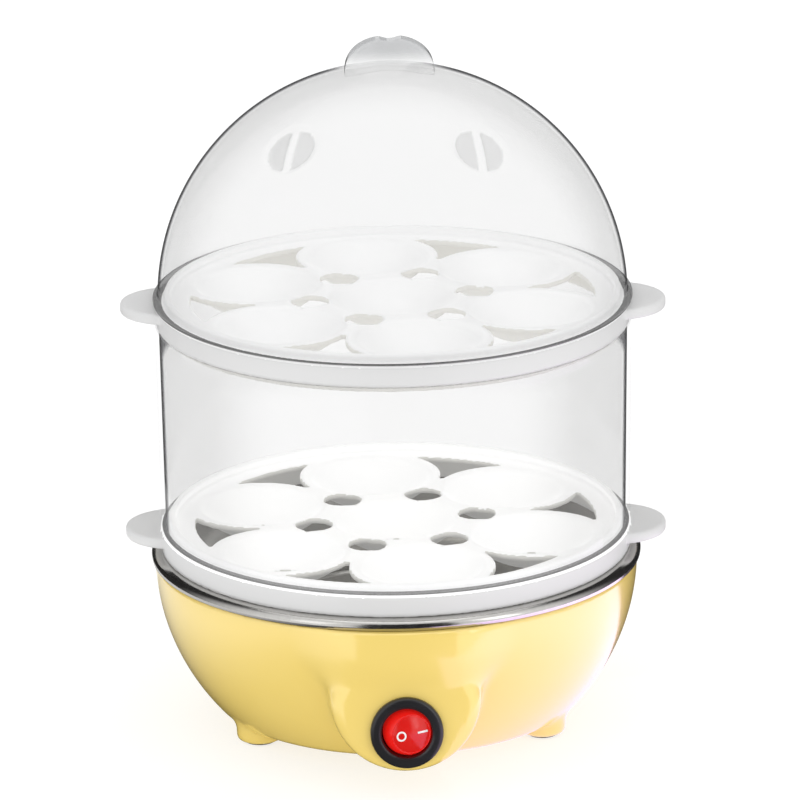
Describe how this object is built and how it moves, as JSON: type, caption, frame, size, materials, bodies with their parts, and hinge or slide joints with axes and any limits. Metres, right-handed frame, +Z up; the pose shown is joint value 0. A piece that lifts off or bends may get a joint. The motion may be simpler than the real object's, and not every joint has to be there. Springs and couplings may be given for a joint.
{
  "type": "egg cooker",
  "caption": "Electric egg steamer: pale yellow bowl base with red rocker switch, steel dish, stacked white egg trays, clear ring and clear domed lid.",
  "frame": {"origin": "on the cooker's vertical axis, in the plane that its foot pads stand on", "axes": "+Z up; the switch faces -Y; the tray ears point along +X and -X"},
  "size_m": [0.1818, 0.1777, 0.2357],
  "materials": {
    "housing_plastic": "pale warm yellow moulding, semi-gloss",
    "screw_steel": "zinc-plated",
    "rubber_pad": "matte",
    "black_plastic": "satin black",
    "dish_steel": "bright rolled rim, satin bowl",
    "silicone_seal": "translucent white",
    "spreader_aluminium": "as cast",
    "element_sheath": "oxidised sheath",
    "tab_brass": "tinned brass",
    "thermostat_resin": "phenolic black",
    "fuse_body": "lacquered",
    "glass_sleeve": "woven glass sleeve",
    "terminal_nylon": "natural nylon",
    "lead_brown": "insulated wire",
    "lead_black": "insulated wire",
    "lead_blue": "insulated wire",
    "lead_green": "insulated wire",
    "lamp_glass": "neon lamp",
    "rocker_red": "translucent red",
    "tray_plastic": "white, semi-gloss",
    "clear_plastic": "clear, glossy"
  },
  "bodies": {
    "base": {"base_housing": "housing_plastic", "housing_floor": "housing_plastic", "housing_lugs": "housing_plastic", "bottom_cover": "housing_plastic", "cover_screws": "screw_steel", "foot_pads": "rubber_pad", "cord_gland": "black_plastic", "heating_dish": "dish_steel", "rim_gasket": "silicone_seal", "dish_bosses": "screw_steel", "dish_screws": "screw_steel", "heat_spreader": "spreader_aluminium", "heating_element": "element_sheath", "element_tabs": "tab_brass", "thermostat": "thermostat_resin", "thermostat_strap": "screw_steel", "thermostat_studs": "screw_steel", "thermostat_nuts": "screw_steel", "earth_tag": "tab_brass", "thermal_fuse": "fuse_body", "fuse_sleeve": "glass_sleeve", "fuse_clip": "screw_steel", "terminal_block": "terminal_nylon", "terminal_sleeves": "tab_brass", "terminal_screws": "screw_steel", "lead_live": "lead_brown", "lead_switched": "lead_black", "lead_stat": "lead_black", "lead_fuse": "lead_black", "lead_neutral": "lead_blue", "lead_earth": "lead_green", "switch_body": "black_plastic", "switch_tabs": "tab_brass", "neon_lamp": "lamp_glass"},
    "rocker": {"switch_rocker": "rocker_red"},
    "lower_tray": {"lower_tray": "tray_plastic"},
    "steam_ring": {"steam_ring": "clear_plastic"},
    "upper_tray": {"upper_tray": "tray_plastic"},
    "lid": {"lid_dome": "clear_plastic"}
  },
  "joints": [
    {"name": "rocker_tilt", "type": "hinge", "parent": "base", "child": "rocker", "pos_m": [0, -0.08261, 0.02283], "axis": [-0.1392, 0.0691, 0.9879], "range_deg": [-28, 0]},
    {"name": "lower_tray_lift", "type": "slide", "parent": "base", "child": "lower_tray", "axis": [0, 0, 1], "range_m": [0, 0.1]},
    {"name": "steam_ring_lift", "type": "slide", "parent": "lower_tray", "child": "steam_ring", "axis": [0, 0, 1], "range_m": [0, 0.1]},
    {"name": "upper_tray_lift", "type": "slide", "parent": "steam_ring", "child": "upper_tray", "axis": [0, 0, 1], "range_m": [0, 0.1]},
    {"name": "lid_lift", "type": "slide", "parent": "upper_tray", "child": "lid", "axis": [0, 0, 1], "range_m": [0, 0.12]}
  ]
}
